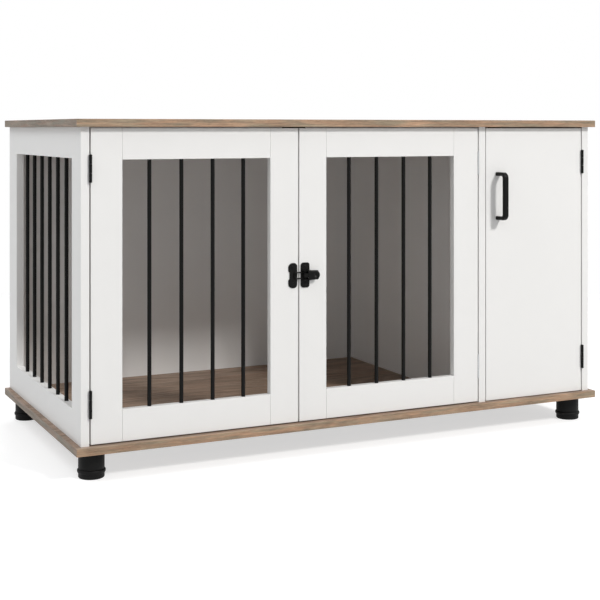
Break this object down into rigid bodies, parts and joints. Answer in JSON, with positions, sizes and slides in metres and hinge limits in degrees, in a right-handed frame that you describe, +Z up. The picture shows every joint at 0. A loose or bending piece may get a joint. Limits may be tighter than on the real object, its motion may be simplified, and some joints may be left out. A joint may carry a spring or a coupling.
{
  "type": "dog crate end table",
  "caption": "Long low furniture crate with barred double doors, a barred side window, a storage cupboard with a bar pull, wood-grain top and base boards and levelling feet.",
  "frame": {"origin": "on the floor, in the middle of the whole outline, with the pull's reach counted in", "axes": "+X to the right along the front, +Y towards the back, +Z up"},
  "size_m": [1.2, 0.6298, 0.679],
  "materials": {
    "white_board": "satin white paint film on board",
    "wood_grain_board": "matt brown wood-grain foil on board",
    "black_metal": "satin black powder coat",
    "zinc_metal": "zinc plated",
    "black_plastic": "moulded, matt",
    "steel_plate": "bare steel"
  },
  "bodies": {
    "cabinet": {"top_board": "wood_grain_board", "base_board": "wood_grain_board", "left_side_panel": "white_board", "right_side_panel": "white_board", "divider_panel": "white_board", "back_panel": "white_board", "storage_shelf": "white_board", "side_bar_1": "black_metal", "side_bar_2": "black_metal", "side_bar_3": "black_metal", "side_bar_4": "black_metal", "side_bar_5": "black_metal", "side_bar_6": "black_metal", "left_door_lower_hinge_fixed_leaf": "black_metal", "left_door_upper_hinge_fixed_leaf": "black_metal", "middle_door_lower_hinge_fixed_leaf": "zinc_metal", "middle_door_upper_hinge_fixed_leaf": "zinc_metal", "storage_door_lower_hinge_fixed_leaf": "black_metal", "storage_door_upper_hinge_fixed_leaf": "black_metal", "crate_door_catch": "black_plastic", "storage_door_catch": "black_plastic", "front_left_foot_socket": "black_plastic", "front_right_foot_socket": "black_plastic", "back_left_foot_socket": "black_plastic", "back_right_foot_socket": "black_plastic"},
    "left_door": {"left_door_hinge_stile": "white_board", "left_door_latch_stile": "white_board", "left_door_top_rail": "white_board", "left_door_bottom_rail": "white_board", "left_door_bar_1": "black_metal", "left_door_bar_2": "black_metal", "left_door_bar_3": "black_metal", "left_door_bar_4": "black_metal", "left_door_lower_hinge_moving_leaf": "black_metal", "left_door_upper_hinge_moving_leaf": "black_metal", "left_door_strike": "steel_plate", "latch_keeper": "black_metal"},
    "middle_door": {"middle_door_hinge_stile": "white_board", "middle_door_latch_stile": "white_board", "middle_door_top_rail": "white_board", "middle_door_bottom_rail": "white_board", "middle_door_bar_1": "black_metal", "middle_door_bar_2": "black_metal", "middle_door_bar_3": "black_metal", "middle_door_bar_4": "black_metal", "middle_door_lower_hinge_moving_leaf": "zinc_metal", "middle_door_upper_hinge_moving_leaf": "zinc_metal", "middle_door_strike": "steel_plate", "latch_base_plate": "black_metal"},
    "storage_door": {"storage_door": "white_board", "storage_pull": "black_metal", "storage_door_lower_hinge_moving_leaf": "black_metal", "storage_door_upper_hinge_moving_leaf": "black_metal", "storage_door_strike": "steel_plate"},
    "latch_lever": {"latch_lever": "black_metal"},
    "latch_bail": {"latch_bail": "black_metal"},
    "front_left_glide": {"front_left_foot_glide": "black_plastic"},
    "front_right_glide": {"front_right_foot_glide": "black_plastic"},
    "back_left_glide": {"back_left_foot_glide": "black_plastic"},
    "back_right_glide": {"back_right_foot_glide": "black_plastic"}
  },
  "joints": [
    {"name": "left_door_hinge", "type": "hinge", "parent": "cabinet", "child": "left_door", "pos_m": [-0.571, -0.2851, 0.3655], "axis": [0, 0, -1], "range_deg": [0, 180]},
    {"name": "middle_door_hinge", "type": "hinge", "parent": "cabinet", "child": "middle_door", "pos_m": [0.29275, -0.2824, 0.3655], "axis": [0, 0, 1], "range_deg": [0, 130]},
    {"name": "storage_door_hinge", "type": "hinge", "parent": "cabinet", "child": "storage_door", "pos_m": [0.571, -0.2851, 0.3655], "axis": [0, 0, 1], "range_deg": [0, 180]},
    {"name": "latch_lever_hinge", "type": "hinge", "parent": "middle_door", "child": "latch_lever", "pos_m": [-0.13062, -0.2891, 0.3646], "axis": [0, 0, -1], "range_deg": [0, 120]},
    {"name": "latch_bail_pivot", "type": "hinge", "parent": "latch_lever", "child": "latch_bail", "pos_m": [-0.12662, -0.2867, 0.3646], "axis": [0, 0, -1], "range_deg": [-120, 0]},
    {"name": "front_left_glide_thread", "type": "slide", "parent": "cabinet", "child": "front_left_glide", "axis": [0, 0, -1], "range_m": [0, 0.01]},
    {"name": "front_right_glide_thread", "type": "slide", "parent": "cabinet", "child": "front_right_glide", "axis": [0, 0, -1], "range_m": [0, 0.01]},
    {"name": "back_left_glide_thread", "type": "slide", "parent": "cabinet", "child": "back_left_glide", "axis": [0, 0, -1], "range_m": [0, 0.01]},
    {"name": "back_right_glide_thread", "type": "slide", "parent": "cabinet", "child": "back_right_glide", "axis": [0, 0, -1], "range_m": [0, 0.01]}
  ],
  "couplings": [
    {"joint": "latch_bail_pivot", "follows": "latch_lever_hinge", "ratio": -1}
  ]
}
